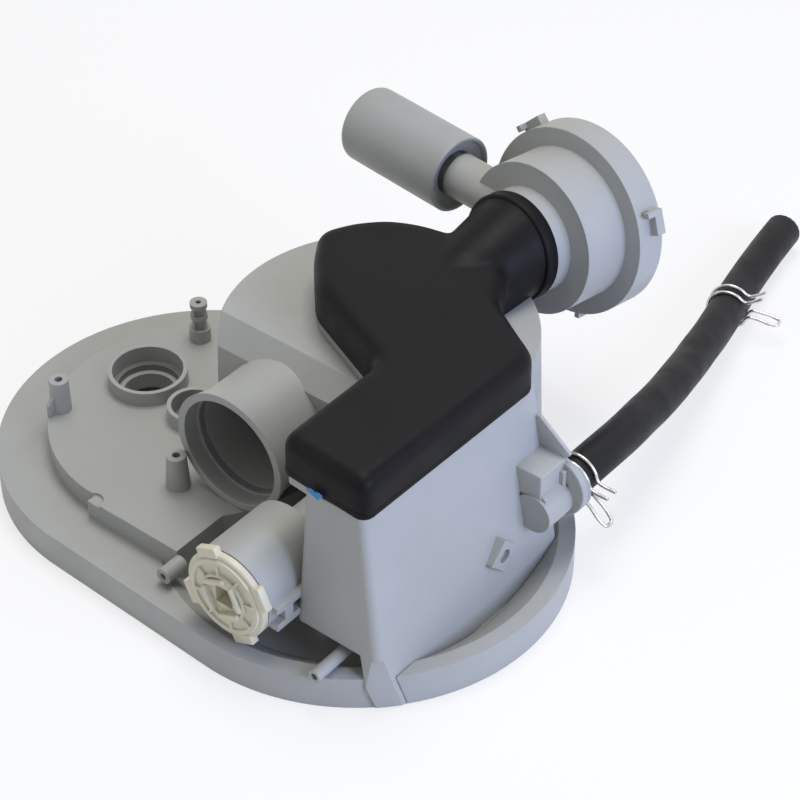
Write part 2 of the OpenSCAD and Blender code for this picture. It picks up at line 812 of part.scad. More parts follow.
module tube(route, r, sides) {
  n = len(route);
  points = concat(sweep_rings(route, r, sides), [route[0], route[n - 1]]);
  sides_faces = [for (i = [0 : n - 2], k = [0 : sides - 1], h = [0, 1])
    let(a = i * sides + k, b = i * sides + (k + 1) % sides)
    h == 0 ? [a, b, a + sides] : [b, b + sides, a + sides]];
  ends = [for (k = [0 : sides - 1], e = [0, 1])
    e == 0 ? [n * sides, (k + 1) % sides, k]
    : [n * sides + 1, (n - 1) * sides + k, (n - 1) * sides + (k + 1) % sides]];
  polyhedron(points = points, faces = concat(sides_faces, ends));
}

// A hose is a tube with its bore, as wide over its flats as the barb that it is pushed on
module hose(route, r, bore_r, sides) {
  n = len(route);
  m = n * sides;
  points = concat(sweep_rings(route, r, sides), sweep_rings(route, bore_r / cos(180 / sides), sides));
  walls = [for (i = [0 : n - 2], k = [0 : sides - 1], h = [0, 1])
    let(a = i * sides + k, b = i * sides + (k + 1) % sides)
    h == 0 ? [a, b, a + sides] : [b, b + sides, a + sides]];
  bore = [for (f = walls) [f[2] + m, f[1] + m, f[0] + m]];
  ends = [for (e = [0, m - sides], k = [0 : sides - 1], h = [0, 1])
    let(a = e + k, b = e + (k + 1) % sides, f = h == 0 ? [a, a + m, b] : [b, a + m, b + m])
    e == 0 ? f : [f[2], f[1], f[0]]];
  polyhedron(points = points, faces = concat(walls, bore, ends));
}

module drain_hose() {
  color(black) hose(hose_route, hose_r, hose_bore_r, 12);
}

function polar(r, a, z) = [r * cos(a), r * sin(a), z];

// Half of a spring clamp's wire at one height: an ear, most of a turn, and a leg of the long bend
function clamp_half(z) = let(r = clamp_loop_r, n = 20)
  concat([polar(r + clamp_ear, 0, z), polar(r + 4, 0, z), polar(r + 1.2, 3, z)],
    [for (i = [0 : n]) polar(r, 12 + (clamp_turn - 24) * i / n, z)],
    [polar(r + 1.2, clamp_turn - 3, z), polar(r + 4, clamp_turn, z),
      polar(r + clamp_tail - 3, clamp_turn, z), polar(r + clamp_tail - 0.6, clamp_turn, 0.7 * z)]);

function turned_round(v) = [for (i = [len(v) - 1 : -1 : 0]) v[i]];

clamp_route = concat(clamp_half(clamp_pitch / 2), [polar(clamp_loop_r + clamp_tail, clamp_turn, 0)],
  turned_round(clamp_half(-clamp_pitch / 2)));

// The wire's least gap to itself, left out next to each point
function self_gap(v, near) = min([for (i = [0 : len(v) - 1 - near], j = [i + near : len(v) - 1])
  norm(v[i] - v[j])]) - clamp_wire_d;
echo(least_gap_of_the_clamp_wire_to_itself_mm = self_gap(clamp_route, 6));

// A spring clamp is one wire: two loops joined by a long bend, with two short ears
module spring_clamp() {
  tube(clamp_route, clamp_wire_d / 2, 6);
}

module near_hose_clamp() {
  color(zinc) facing_front([drain_at[0], near_clamp_y, drain_at[2]]) spring_clamp();
}

module far_hose_clamp() {
  color(zinc) translate(far_clamp_at) rotate([90, 0, far_clamp_turn])
    rotate([0, 0, far_clamp_roll]) spring_clamp();
}

sump_base();
well_housing();
tub_gasket();
large_port_seal();
small_port_seal();
inlet_stub_seal();
ribbed_stud();
cover_gasket();
suction_cover();
elbow_seal();
pump_volute();
wear_ring();
motor_seal();
outlet_sleeve();
valve_cap();
valve_cap_seal();
valve_rotor();
rotor_seal();
drain_spigot();
flap_seat();
non_return_flap();
flap_pin();
drain_hose();
near_hose_clamp();
far_hose_clamp();
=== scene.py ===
"""Dresses the dishwasher sump, as it stands upside down, in its moulded and metal finishes."""
import json
import logging
import math
from dataclasses import dataclass, field
from enum import Enum

import bmesh
import bpy
from mathutils import Matrix, Vector

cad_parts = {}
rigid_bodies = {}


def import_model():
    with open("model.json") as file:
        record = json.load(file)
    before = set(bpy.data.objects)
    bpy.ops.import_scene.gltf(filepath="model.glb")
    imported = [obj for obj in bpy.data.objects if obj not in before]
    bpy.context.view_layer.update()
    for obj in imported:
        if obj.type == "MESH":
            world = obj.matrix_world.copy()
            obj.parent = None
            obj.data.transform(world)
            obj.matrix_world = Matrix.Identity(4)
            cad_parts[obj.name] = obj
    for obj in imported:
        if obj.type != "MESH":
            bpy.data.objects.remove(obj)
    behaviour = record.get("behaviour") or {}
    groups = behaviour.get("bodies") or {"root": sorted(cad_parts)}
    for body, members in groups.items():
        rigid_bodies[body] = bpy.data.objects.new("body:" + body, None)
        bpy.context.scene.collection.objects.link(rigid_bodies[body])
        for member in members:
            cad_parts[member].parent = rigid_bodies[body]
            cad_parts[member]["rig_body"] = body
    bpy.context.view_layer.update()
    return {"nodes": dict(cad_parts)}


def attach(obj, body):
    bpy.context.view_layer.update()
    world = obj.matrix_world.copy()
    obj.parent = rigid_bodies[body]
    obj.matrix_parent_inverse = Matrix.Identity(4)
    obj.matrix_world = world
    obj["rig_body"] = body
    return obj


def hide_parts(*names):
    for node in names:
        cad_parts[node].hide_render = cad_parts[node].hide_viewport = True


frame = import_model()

LOG = logging.getLogger("sump")
MM = 0.001
WHITE = (1, 1, 1, 1)
MOST_OF_A_NOISE = (0.3, 0.7)  # nearly all of a noise's values lie between these

# Where the pump's axis starts in millimetres, and its direction.
PUMP_AT = (29.0, 126.0, 122.0)
PUMP_ALONG = (0.12120, 0.98711, -0.10453)


def linear(rgb: tuple[int, int, int]) -> tuple[float, float, float, float]:
    """Turns a screen colour into the renderer's own.

    Args:
        rgb: Red, green and blue from 0 to 255.

    Returns:
        The linear colour with an alpha of 1.
    """
    parts = [c / 255 for c in rgb]
    light = [c / 12.92 if c < 0.04045 else ((c + 0.055) / 1.055) ** 2.4 for c in parts]
    return (light[0], light[1], light[2], 1.0)


def facing_front(at: tuple[float, float, float]) -> Matrix:
    """Gives the place of a part whose axis points to the front.

    Args:
        at: The part's origin in millimetres.

    Returns:
        The matrix from the part's own frame to the sump's.
    """
    return Matrix.Translation(at) @ Matrix.Rotation(math.radians(90), 4, "X")


class Body(Enum):
    """The bodies that the remade pieces ride on."""

    SUMP = "sump"
    CAP = "cap"


@dataclass(frozen=True)
class Patches:
    """Cloudy patches or fine specks, where a noise lies between two values."""

    scale: float
    detail: float
    low: float
    high: float
    most: float


@dataclass(frozen=True)
class Relief:
    """A fine relief: its noise, how strong it is and its depth in metres."""

    scale: float
    detail: float
    strength: float
    depth: float


class Graph:
    """The node tree of one finish."""

    def __init__(self, name: str) -> None:
        """Starts a material with its principled shader.

        Args:
            name: The material's name.
        """
        self.material = bpy.data.materials.new(name)
        self.material.use_nodes = True
        self.tree = self.material.node_tree
        self.shader = self.tree.nodes["Principled BSDF"]
        self.place = self.add("ShaderNodeTexCoord").outputs["Object"]

    def add(self, kind: str, **inputs: object) -> bpy.types.Node:
        """Adds a node and sets or links its sockets.

        Args:
            kind: The node's type.
            inputs: Socket names, with spaces as underscores, and their values or links.

        Returns:
            The new node.
        """
        node = self.tree.nodes.new(kind)
        for key, value in inputs.items():
            self.set(node, key.replace("_", " "), value)
        return node

    def set(self, node: bpy.types.Node, socket: str, value: object) -> None:
        """Sets a socket, or links another node's output to it.

        Args:
            node: The node.
            socket: The socket's name.
            value: Its value, or the output that is linked to it.
        """
        if isinstance(value, bpy.types.NodeSocket):
            self.tree.links.new(value, node.inputs[socket])
        else:
            node.inputs[socket].default_value = value

    def noise(self, scale: float, detail: float) -> bpy.types.NodeSocket:
        """Makes a noise in the piece's own space.

        Args:
            scale: Features in a metre.
            detail: How many octaves it has.

        Returns:
            The noise, from 0 to 1.
        """
        node = self.add("ShaderNodeTexNoise", Vector=self.place, Scale=scale, Detail=detail)
        return node.outputs["Fac"]

    def band(self, value: bpy.types.NodeSocket, low: float, high: float,
             start: float, end: float) -> bpy.types.NodeSocket:
        """Maps a value from one range to another, clamped.

        Args:
            value: The value to map.
            low: The lowest value that counts.
            high: The highest value that counts.
            start: What the lowest becomes.
            end: What the highest becomes.

        Returns:
            The mapped value.
        """
        node = self.add("ShaderNodeMapRange", Value=value, From_Min=low, From_Max=high, To_Min=start,
                        To_Max=end)
        return node.outputs["Result"]

    def patches(self, kind: Patches) -> bpy.types.NodeSocket:
        """Gives where the patches lie, from 0 to their most."""
        return self.band(self.noise(kind.scale, kind.detail), kind.low, kind.high, 0.0, kind.most)

    def vary_roughness(self, noise: bpy.types.NodeSocket, least: float, most: float) -> None:
        """Lets a noise vary the roughness between two values."""
        self.set(self.shader, "Roughness", self.band(noise, *MOST_OF_A_NOISE, least, most))

    def blend(self, amount: bpy.types.NodeSocket, first: object,
              second: object) -> bpy.types.NodeSocket:
        """Mixes two colours.

        Args:
            amount: How much of the second colour there is.
            first: The first colour, or a link.
            second: The second colour, or a link.

        Returns:
            The mixed colour.
        """
        node = self.tree.nodes.new("ShaderNodeMix")
        node.data_type = "RGBA"
        self.tree.links.new(amount, node.inputs["Factor"])
        for socket, colour in ((node.inputs[6], first), (node.inputs[7], second)):
            if isinstance(colour, bpy.types.NodeSocket):
                self.tree.links.new(colour, socket)
            else:
                socket.default_value = colour
        return node.outputs[2]

    def rounded_normal(self, radius: float) -> bpy.types.NodeSocket:
        """Makes the edges look broken.

        Args:
            radius: The radius of the edges in metres.

        Returns:
            The normal with broken edges.
        """
        node = self.add("ShaderNodeBevel", Radius=radius)
        node.samples = 6
        return node.outputs["Normal"]

    def edge_wear_and_highlight(self, rounded: bpy.types.NodeSocket, spread: float) -> bpy.types.NodeSocket:
        """Finds where the surface turns over an edge, where wear and a painted highlight go.

        Args:
            rounded: The normal with broken edges.
            spread: How far the normal has to turn for full wear and painted highlight.

        Returns:
            The edge wear and painted highlight, from 0 on flats to 1 on edges.
        """
        flat = self.add("ShaderNodeNewGeometry").outputs["Normal"]
        dot = self.tree.nodes.new("ShaderNodeVectorMath")
        dot.operation = "DOT_PRODUCT"
        self.tree.links.new(rounded, dot.inputs[0])
        self.tree.links.new(flat, dot.inputs[1])
        return self.band(dot.outputs["Value"], 1 - spread, 1.0, 1.0, 0.0)

    def bump(self, height: bpy.types.NodeSocket, strength: float, depth: float,
             normal: bpy.types.NodeSocket) -> bpy.types.NodeSocket:
        """Raises the surface by a texture.

        Args:
            height: The texture.
            strength: How strong the relief is.
            depth: The relief's height in metres.
            normal: The normal under it.

        Returns:
            The normal with the relief.
        """
        node = self.add("ShaderNodeBump", Height=height, Strength=strength, Distance=depth,
                        Normal=normal)
        return node.outputs["Normal"]

    def grain(self, kind: Relief, normal: bpy.types.NodeSocket) -> bpy.types.NodeSocket:
        """Raises the surface by a relief of its own noise."""
        return self.bump(self.noise(kind.scale, kind.detail), kind.strength, kind.depth, normal)


@dataclass(frozen=True)
class MouldedFinish:
    """Moulded plastic: slightly cloudy, with a fine mould grain, and paler edges that are partly wear
    and partly a painted highlight.
    """

    name: str
    colour: tuple[int, int, int]
    # The second colour tints the flecks and paints the edges paler: partly wear, partly a painted
    # highlight.
    edge_highlight_and_fleck_colour: tuple[int, int, int]
    grime: tuple[int, int, int]
    roughness: float = 0.46
    smoother: float = 0.05
    rougher: float = 0.09
    edge_radius: float = 0.0009
    sheen_of_resin: float = 0.42
    # How far the painted edge highlight and wear reach, and how strong they are.
    wear_and_highlight_spread: float = 0.22
    wear_and_highlight_share: float = 0.55
    clouds: Patches = Patches(14, 4, 0.35, 0.68, 0.55)
    flecks: Patches = Patches(420, 2, 0.62, 0.74, 0.09)
    mould_grain: Relief = Relief(2600, 2, 0.12, 0.00012)
    flow_marks: Relief = Relief(55, 5, 0.10, 0.0012)

    def build(self) -> bpy.types.Material:
        """Builds the material.

        Returns:
            The material.
        """
        g = Graph(self.name)
        pale = linear(self.edge_highlight_and_fleck_colour)
        rounded = g.rounded_normal(self.edge_radius)
        colour = g.blend(g.patches(self.clouds), linear(self.colour), linear(self.grime))
        colour = g.blend(g.patches(self.flecks), colour, pale)
        # Painted highlight with some wear: every edge is mixed towards the paler colour.
        worn_and_highlit = g.band(g.edge_wear_and_highlight(rounded, self.wear_and_highlight_spread), 0, 1, 0, self.wear_and_highlight_share)
        g.set(g.shader, "Base Color", g.blend(worn_and_highlit, colour, pale))
        flow = g.noise(self.flow_marks.scale, self.flow_marks.detail)
        g.vary_roughness(flow, self.roughness - self.smoother, self.roughness + self.rougher)
        g.set(g.shader, "Specular IOR Level", self.sheen_of_resin)
        fine = g.grain(self.mould_grain, rounded)
        g.set(g.shader, "Normal", g.bump(flow, self.flow_marks.strength, self.flow_marks.depth, fine))
        return g.material


@dataclass(frozen=True)
class RubberFinish:
    """Rubber: dark, a little dusty, with soft scuffs along it."""

    name: str
    colour: tuple[int, int, int]
    dust: tuple[int, int, int]
    roughness: float
    uneven: float = 0.1
    edge_radius: float = 0.0008
    sheen_of_rubber: float = 0.2
    scuffs: Patches = Patches(38, 6, 0.48, 0.75, 0.5)
    specks: Patches = Patches(900, 2, 0.66, 0.76, 0.35)
    smears: tuple[float, float] = (70, 4)
    skin: Relief = Relief(1500, 3, 0.14, 0.0002)

    def build(self) -> bpy.types.Material:
        """Builds the material.

        Returns:
            The material.
        """
        g = Graph(self.name)
        rounded = g.rounded_normal(self.edge_radius)
        colour = g.blend(g.patches(self.scuffs), linear(self.colour), linear(self.dust))
        g.set(g.shader, "Base Color", g.blend(g.patches(self.specks), colour, linear(self.dust)))
        g.vary_roughness(g.noise(*self.smears), self.roughness - self.uneven,
                         self.roughness + self.uneven)
        g.set(g.shader, "Specular IOR Level", self.sheen_of_rubber)
        g.set(g.shader, "Normal", g.grain(self.skin, rounded))
        return g.material


@dataclass(frozen=True)
class WireFinish:
    """Bright zinc-plated spring wire with dull patches."""

    name: str
    colour: tuple[int, int, int]
    dull: tuple[int, int, int]
    metal: float = 0.9
    bright_roughness: float = 0.24
    dull_roughness: float = 0.42
    edge_radius: float = 0.0002
    tarnish: Patches = Patches(160, 4, 0.45, 0.7, 1.0)
    drawing_marks: Relief = Relief(1200, 2, 0.08, 0.0001)

    def build(self) -> bpy.types.Material:
        """Builds the material.

        Returns:
            The material.
        """
        g = Graph(self.name)
        dull = g.patches(self.tarnish)
        g.set(g.shader, "Base Color", g.blend(dull, linear(self.colour), linear(self.dull)))
        g.set(g.shader, "Metallic", self.metal)
        g.set(g.shader, "Roughness", g.band(dull, 0, 1, self.bright_roughness, self.dull_roughness))
        rounded = g.rounded_normal(self.edge_radius)
        g.set(g.shader, "Normal", g.grain(self.drawing_marks, rounded))
        return g.material


class Finish(Enum):
    """The finishes of the sump's pieces. All but the paint are named for their slot."""

    BODY = "body_plastic"
    SHADE = "shade_plastic"
    CREAM = "cream_plastic"
    COVER = "black_plastic"
    SEAL = "grey_rubber"
    HOSE = "black_rubber"
    WIRE = "zinc_wire"
    PAINT = "marking_paint"


class FinishShop:
    """Makes each finish once and hands it out."""

    recipes: dict[Finish, MouldedFinish | RubberFinish | WireFinish] = {
        # Each moulding's second colour is also the colour of its painted edge highlight.
        Finish.BODY: MouldedFinish("moulded_warm_grey", (166, 167, 163), (190, 191, 189),
                                   (156, 156, 150)),
        Finish.SHADE: MouldedFinish("moulded_soft_grey", (157, 159, 156), (184, 186, 184),
                                    (144, 145, 139)),
        Finish.CREAM: MouldedFinish("moulded_cream", (216, 211, 188), (234, 232, 218), (190, 184, 156),
                                    roughness=0.36, edge_radius=0.0005),
        Finish.COVER: MouldedFinish("moulded_black", (24, 23, 24), (46, 46, 49), (12, 12, 13),
                                    roughness=0.42, edge_radius=0.0012, sheen_of_resin=0.09),
        Finish.SEAL: RubberFinish("grey_seal_rubber", (128, 129, 126), (160, 160, 156), 0.6),
        Finish.HOSE: RubberFinish("black_hose_rubber", (22, 22, 23), (46, 46, 47), 0.5),
        Finish.PAINT: MouldedFinish("blue_marking_paint", (38, 126, 190), (70, 160, 214),
                                    (30, 108, 170), roughness=0.3),
        Finish.WIRE: WireFinish("zinc_spring_wire", (214, 213, 209), (168, 166, 160)),
    }

    def __init__(self) -> None:
        """Builds every material."""
        self.made = {finish: recipe.build() for finish, recipe in self.recipes.items()}

    def dress(self, piece: bpy.types.Object, finish: Finish) -> None:
        """Gives a piece its finish.

        Args:
            piece: The piece.
            finish: Its finish.
        """
        piece.data.materials.clear()
        piece.data.materials.append(self.made[finish])


class Blank:
    """A mesh in millimetres that becomes one finished piece."""

    weld: float = 0.001  # corners nearer than this are one

    def __init__(self) -> None:
        """Starts an empty mesh."""
        self.bm = bmesh.new()

    def lathe(self, profile: list[tuple[float, float]], steps: int) -> list[bmesh.types.BMVert]:
        """Spins a closed profile about Z.

        Args:
            profile: Radius and height of each corner.
            steps: How many facets the turn has.

        Returns:
            The new vertices.
        """
        before = set(self.bm.verts)
        verts = [self.bm.verts.new((r, 0, z)) for r, z in profile]
        pairs = zip(verts, verts[1:] + verts[:1])
        edges = [self.bm.edges.new(pair) for pair in pairs]
        bmesh.ops.spin(self.bm, geom=verts + edges, cent=(0, 0, 0), axis=(0, 0, 1),
                       angle=2 * math.pi, steps=steps, use_merge=True)
        return [v for v in self.bm.verts if v not in before]

    def block(self, low: tuple[float, float, float], high: tuple[float, float, float],
              edge: float, segments: int) -> list[bmesh.types.BMVert]:
        """Adds a block between two corners, with its edges broken.

        Args:
            low: The lowest corner.
            high: The highest corner.
            edge: The radius of its edges.
            segments: How many facets an edge has.

        Returns:
            The new vertices.
        """
        before = set(self.bm.verts)
        size = [b - a for a, b in zip(low, high)]
        centre = [(a + b) / 2 for a, b in zip(low, high)]
        place = Matrix.Translation(centre) @ Matrix.Diagonal((*size, 1))
        made = bmesh.ops.create_cube(self.bm, size=1, matrix=place)
        edges = list({e for v in made["verts"] for e in v.link_edges})
        self.break_edges(edges, edge, segments)
        return [v for v in self.bm.verts if v not in before]

    def break_edges(self, edges: list[bmesh.types.BMEdge], radius: float, segments: int) -> None:
        """Rounds the given edges."""
        bmesh.ops.bevel(self.bm, geom=edges, offset=radius, segments=segments, profile=0.5,
                        affect="EDGES", material=-1)

    def place(self, matrix: Matrix, verts: list[bmesh.types.BMVert] | None = None) -> None:
        """Moves the given vertices, or all of them."""
        bmesh.ops.transform(self.bm, matrix=matrix, verts=verts or list(self.bm.verts))

    def finish(self, name: str, sharp: float = 32.0) -> bpy.types.Object:
        """Closes the mesh and makes its object.

        Args:
            name: The piece's name.
            sharp: The angle in degrees from which an edge stays sharp.

        Returns:
            The object, at the origin and in metres.
        """
        bmesh.ops.remove_doubles(self.bm, verts=list(self.bm.verts), dist=self.weld)
        bmesh.ops.recalc_face_normals(self.bm, faces=list(self.bm.faces))
        self.place(Matrix.Scale(MM, 4))
        return object_of(self.bm, name, sharp)


def object_of(bm: bmesh.types.BMesh, name: str, sharp: float) -> bpy.types.Object:
    """Makes an object of a finished mesh.

    Args:
        bm: The mesh, in metres. It is freed.
        name: The piece's name.
        sharp: The angle in degrees from which an edge stays sharp.

    Returns:
        The object, with its faces shaded smooth.
    """
    for face in bm.faces:
        face.smooth = True
    limit = math.radians(sharp)
    for edge in bm.edges:
        edge.smooth = len(edge.link_faces) == 2 and edge.calc_face_angle(0) < limit
    mesh = bpy.data.meshes.new(name)
    bm.to_mesh(mesh)
    bm.free()
    piece = bpy.data.objects.new(name, mesh)
    bpy.context.scene.collection.objects.link(piece)
    return piece


def settle(piece: bpy.types.Object) -> bpy.types.Object:
    """Turns a piece with live modifiers into its plain mesh.

    Args:
        piece: The object, which is removed.

    Returns:
        The object that takes its place and its name.
    """
    bpy.context.view_layer.update()
    graph = bpy.context.evaluated_depsgraph_get()
    mesh = bpy.data.meshes.new_from_object(piece.evaluated_get(graph))
    name = piece.name
    bpy.data.objects.remove(piece)
    done = bpy.data.objects.new(name, mesh)
    bpy.context.scene.collection.objects.link(done)
    return done


@dataclass(frozen=True)
class Lamp:
    """A soft square lamp: its place and side in metres, its power in watts and its tint."""

    name: str
    at: tuple[float, float, float]
    side: float
    power: float
    tint: tuple[float, float, float]


@dataclass
class Studio:
    """The camera, the lamps, the floor and the white surroundings. Places are in metres."""

    target: tuple[float, float, float] = (0.0, 0.06, 0.06)  # what the lamps face
    azimuth: float = 39.0
    elevation: float = 39.5
    lens: float = 112.5
    sensor: float = 36.0
    camera_at: tuple[float, float, float] = (0.66422, -0.80278, 0.91963)
    lamps: tuple[Lamp, ...] = (
        Lamp("side_window", (1.6, 0.0, 0.75), 1.0, 27, (0.56, 0.65, 1.0)),
        Lamp("ceiling_softbox", (-0.15, 0.3, 1.9), 1.0, 22, (1.0, 0.985, 0.95)),
        Lamp("front_fill", (-0.8, -1.4, 0.7), 1.2, 1.9, (1.0, 0.99, 0.96)))
    daylight: tuple[float, float, float, float] = (0.93, 0.96, 1.0, 1)
    daylight_strength: float = 0.3
    floor_size: float = 6.0
    floor_drop: float = 0.0004
    floor_colour: tuple[float, float, float, float] = (0.86, 0.86, 0.86, 1)
    floor_roughness: float = 0.8
    floor_gloss: float = 0.1
    floor_glow: float = 0.72
    shade_centres: tuple[tuple[float, float], ...] = ((-0.09, -0.047), (0.025, -0.049))
    shade_reach: float = 0.085
    shade_fade: float = 0.02

    def camera(self) -> None:
        """Sets up the camera of the photograph."""
        turn, lift = math.radians(self.azimuth), math.radians(self.elevation)
        right = Vector((math.cos(turn), math.sin(turn), 0))
        back = Vector((math.sin(turn) * math.cos(lift), -math.cos(turn) * math.cos(lift),
                       math.sin(lift)))
        up = back.cross(right)
        data = bpy.data.cameras.new("photo_camera")
        data.lens = self.lens
        data.sensor_width = self.sensor
        camera = bpy.data.objects.new("photo_camera", data)
        rows = Matrix((right, up, back)).transposed().to_4x4()
        camera.matrix_world = Matrix.Translation(self.camera_at) @ rows
        bpy.context.scene.collection.objects.link(camera)
        bpy.context.scene.camera = camera

    def hang(self, lamp: Lamp) -> None:
        """Hangs a lamp that looks at the sump.

        Args:
            lamp: The lamp.
        """
        data = bpy.data.lights.new(lamp.name, "AREA")
        data.size = lamp.side
        data.energy = lamp.power
        data.color = lamp.tint
        hung = bpy.data.objects.new(lamp.name, data)
        hung.location = lamp.at
        back = Vector(lamp.at) - Vector(self.target)
        hung.rotation_euler = back.to_track_quat("Z", "Y").to_euler()
        bpy.context.scene.collection.objects.link(hung)

    def seen(self, tree: bpy.types.NodeTree) -> bpy.types.NodeSocket:
        """Finds the rays that show the background: to the eye, off a glossy surface and through glass.

        Args:
            tree: The node tree that asks.

        Returns:
            1 for such a ray and 0 for any other.
        """
        rays = tree.nodes.new("ShaderNodeLightPath")
        found = rays.outputs["Is Camera Ray"]
        for kind in ("Is Glossy Ray", "Is Transmission Ray"):
            either = tree.nodes.new("ShaderNodeMath")
            either.operation = "MAXIMUM"
            tree.links.new(found, either.inputs[0])
            tree.links.new(rays.outputs[kind], either.inputs[1])
            found = either.outputs[0]
        return found

    def mix(self, tree: bpy.types.NodeTree, share: bpy.types.NodeSocket, plain: bpy.types.Node,
            white: bpy.types.Node, output: str) -> None:
        """Mixes two shaders and shows them.

        Args:
            tree: Their node tree.
            share: How much of the white one there is.
            plain: The plain shader.
            white: The white shader.
            output: The tree's output node.
        """
        both = tree.nodes.new("ShaderNodeMixShader")
        for slot, source in enumerate((share, plain.outputs[0], white.outputs[0])):
            tree.links.new(source, both.inputs[slot])
        tree.links.new(both.outputs[0], tree.nodes[output].inputs["Surface"])

    def surroundings(self) -> None:
        """Makes the world white for the eye and pale as daylight for the light."""
        world = bpy.data.worlds.new("white_room")
        world.use_nodes = True
        bpy.context.scene.world = world
        tree = world.node_tree
        white = tree.nodes.new("ShaderNodeBackground")
        white.inputs["Color"].default_value = WHITE
        plain = tree.nodes["Background"]
        plain.inputs["Color"].default_value = self.daylight
        plain.inputs["Strength"].default_value = self.daylight_strength
        self.mix(tree, self.seen(tree), plain, white, "World Output")

    def floor(self) -> None:
        """Lays the pale floor under the rim."""
        bm = bmesh.new()
        bmesh.ops.create_grid(bm, x_segments=1, y_segments=1, size=self.floor_size,
                              matrix=Matrix.Translation((0, 0, -self.floor_drop)))
        floor = object_of(bm, "studio_floor", sharp=30)
        material = bpy.data.materials.new("pale_floor")
        material.use_nodes = True
        tree = material.node_tree
        shader = tree.nodes["Principled BSDF"]
        shader.inputs["Base Color"].default_value = self.floor_colour
        shader.inputs["Roughness"].default_value = self.floor_roughness
        shader.inputs["Specular IOR Level"].default_value = self.floor_gloss
        glow = tree.nodes.new("ShaderNodeEmission")
        glow.inputs["Color"].default_value = WHITE
        share = tree.nodes.new("ShaderNodeMath")
        share.operation = "MULTIPLY"
        tree.links.new(self.seen(tree), share.inputs[0])
        tree.links.new(self.open_floor(tree), share.inputs[1])
        self.mix(tree, share.outputs[0], shader, glow, "Material Output")
        floor.data.materials.append(material)

    def open_floor(self, tree: bpy.types.NodeTree) -> bpy.types.NodeSocket:
        """Finds how white the floor glows: not at all under the sump, whose holes stay dark.

        Args:
            tree: The floor's node tree.

        Returns:
            The share of white.
        """
        place = tree.nodes.new("ShaderNodeTexCoord").outputs["Object"]
        nearest = tree.nodes.new("ShaderNodeMath")
        nearest.operation = "MINIMUM"
        for slot, centre in enumerate(self.shade_centres):
            away = tree.nodes.new("ShaderNodeVectorMath")
            away.operation = "DISTANCE"
            away.inputs[1].default_value = (*centre, -self.floor_drop)
            tree.links.new(place, away.inputs[0])
            tree.links.new(away.outputs["Value"], nearest.inputs[slot])
        fade = tree.nodes.new("ShaderNodeMapRange")
        tree.links.new(nearest.outputs[0], fade.inputs["Value"])
        fade.inputs["From Min"].default_value = self.shade_reach
        fade.inputs["From Max"].default_value = self.shade_reach + self.shade_fade
        fade.inputs["To Max"].default_value = self.floor_glow
        return fade.outputs["Result"]

    def build(self) -> None:
        """Builds the whole studio."""
        self.camera()
        for lamp in self.lamps:
            self.hang(lamp)
        self.surroundings()
        self.floor()
        bpy.context.scene.view_settings.view_transform = "Standard"


